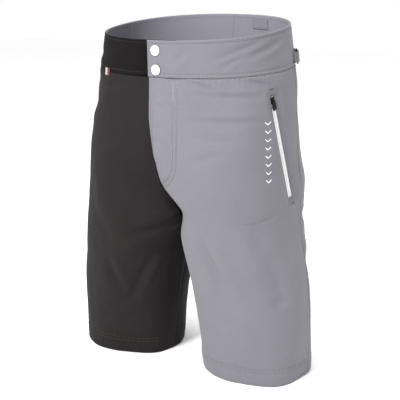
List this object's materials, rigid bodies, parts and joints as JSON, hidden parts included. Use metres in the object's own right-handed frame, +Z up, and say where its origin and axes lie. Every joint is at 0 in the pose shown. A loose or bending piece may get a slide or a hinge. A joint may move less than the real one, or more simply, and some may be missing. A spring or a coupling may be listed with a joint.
{
  "type": "outdoor shorts",
  "caption": "Knee-length two-tone woven outdoor shorts, worn shape, with snapped waistband overlap, zipped fly, zipped side pockets and waist adjusters.",
  "frame": {"origin": "on the ground midway between the two legs, under the middle of the body", "axes": "+Z up, -Y the wearer's front, +X the wearer's left"},
  "size_m": [0.4118, 0.2497, 0.5571],
  "materials": {
    "cloth_grey": "mid grey plain-woven nylon, matt",
    "cloth_black": "charcoal black plain-woven nylon, matt",
    "facing_grey": "grey waistband facing, soft matt weave",
    "zip_white": "white coil zip on white woven tape",
    "zip_black": "black coil zip on black woven tape",
    "snap_white": "white enamelled snap cap",
    "plastic_black": "black moulded plastic",
    "metal": "nickel plated",
    "label_red": "woven label, red and white blocks, no text",
    "label_grey": "plain woven label, no text",
    "hook_tape_black": "hook tape"
  },
  "bodies": {
    "shorts": {"pocket_zip_front_side_left": "zip_white", "pocket_zip_back_side_left": "zip_white", "pocket_bag_left": "cloth_grey", "pocket_zip_front_side_right": "zip_white", "pocket_zip_back_side_right": "zip_white", "pocket_bag_right": "cloth_black", "front_panel_left": "cloth_grey", "front_panel_right": "cloth_black", "back_panel_left": "cloth_grey", "back_panel_right": "cloth_black", "waistband_front_left": "cloth_grey", "waistband_front_right": "cloth_black", "waistband_back_left": "cloth_grey", "waistband_back_right": "cloth_black", "waistband_front_left_facing": "facing_grey", "waistband_front_right_facing": "facing_grey", "waistband_back_left_facing": "facing_grey", "waistband_back_right_facing": "facing_grey", "fly_zip_left_side": "zip_black", "fly_zip_right_side": "zip_black", "fly_shield": "cloth_black", "snap_stud_upper": "metal", "snap_post_upper": "metal", "snap_stud_lower": "metal", "snap_post_lower": "metal", "adjuster_ring_left": "plastic_black", "adjuster_anchor_left": "cloth_grey", "adjuster_strap_left": "cloth_grey", "adjuster_ring_right": "plastic_black", "adjuster_anchor_right": "cloth_black", "adjuster_strap_right": "cloth_black", "side_label": "label_red", "back_label": "label_grey"},
    "flap": {"waistband_overlap": "cloth_grey", "waistband_overlap_facing": "facing_grey", "fly_flap": "cloth_grey", "fly_flap_facing": "facing_grey", "snap_cap_upper": "snap_white", "snap_cap_lower": "snap_white", "snap_socket_upper": "metal", "snap_socket_lower": "metal"},
    "fly_slider": {"fly_zip_slider": "metal"},
    "fly_pull": {"fly_zip_pull": "metal"},
    "pocket_slider_left": {"pocket_slider_left": "plastic_black"},
    "pocket_pull_left": {"pocket_pull_left": "plastic_black"},
    "adjuster_tab_left": {"adjuster_tab_left": "cloth_grey", "adjuster_hook_patch_left": "hook_tape_black"},
    "pocket_slider_right": {"pocket_slider_right": "plastic_black"},
    "pocket_pull_right": {"pocket_pull_right": "plastic_black"},
    "adjuster_tab_right": {"adjuster_tab_right": "cloth_black", "adjuster_hook_patch_right": "hook_tape_black"}
  },
  "joints": [
    {"name": "fly_flap_open", "type": "hinge", "parent": "shorts", "child": "flap", "pos_m": [0.04227, -0.10825, 0.52745], "axis": [0.0015, 0.0945, 0.9955], "range_deg": [0, 75]},
    {"name": "fly_zip_slide", "type": "slide", "parent": "shorts", "child": "fly_slider", "axis": [0.0208, -0.0591, -0.998], "range_m": [0, 0.092]},
    {"name": "fly_pull_swing", "type": "hinge", "parent": "fly_slider", "child": "fly_pull", "pos_m": [0.00621, -0.10482, 0.45682], "axis": [-0.9998, 0, -0.0208], "range_deg": [0, 3]},
    {"name": "pocket_left_zip_slide", "type": "slide", "parent": "shorts", "child": "pocket_slider_left", "axis": [0.1008, 0.2119, -0.9721], "range_m": [0, 0.139]},
    {"name": "pocket_left_pull_swing", "type": "hinge", "parent": "pocket_slider_left", "child": "pocket_pull_left", "pos_m": [0.1614, -0.0333, 0.43982], "axis": [-0.0908, -0.971, -0.221], "range_deg": [0, 150]},
    {"name": "pocket_right_zip_slide", "type": "slide", "parent": "shorts", "child": "pocket_slider_right", "axis": [-0.1008, 0.2119, -0.9721], "range_m": [0, 0.139]},
    {"name": "pocket_right_pull_swing", "type": "hinge", "parent": "pocket_slider_right", "child": "pocket_pull_right", "pos_m": [-0.1614, -0.0333, 0.43982], "axis": [-0.0908, 0.971, 0.221], "range_deg": [0, 150]},
    {"name": "adjuster_left_peel", "type": "hinge", "parent": "shorts", "child": "adjuster_tab_left", "pos_m": [0.15292, 0.06231, 0.49883], "axis": [0.155, -0.0474, -0.9868], "range_deg": [0, 100]},
    {"name": "adjuster_right_peel", "type": "hinge", "parent": "shorts", "child": "adjuster_tab_right", "pos_m": [-0.15292, 0.06231, 0.49883], "axis": [0.155, 0.0474, 0.9868], "range_deg": [0, 100]}
  ]
}
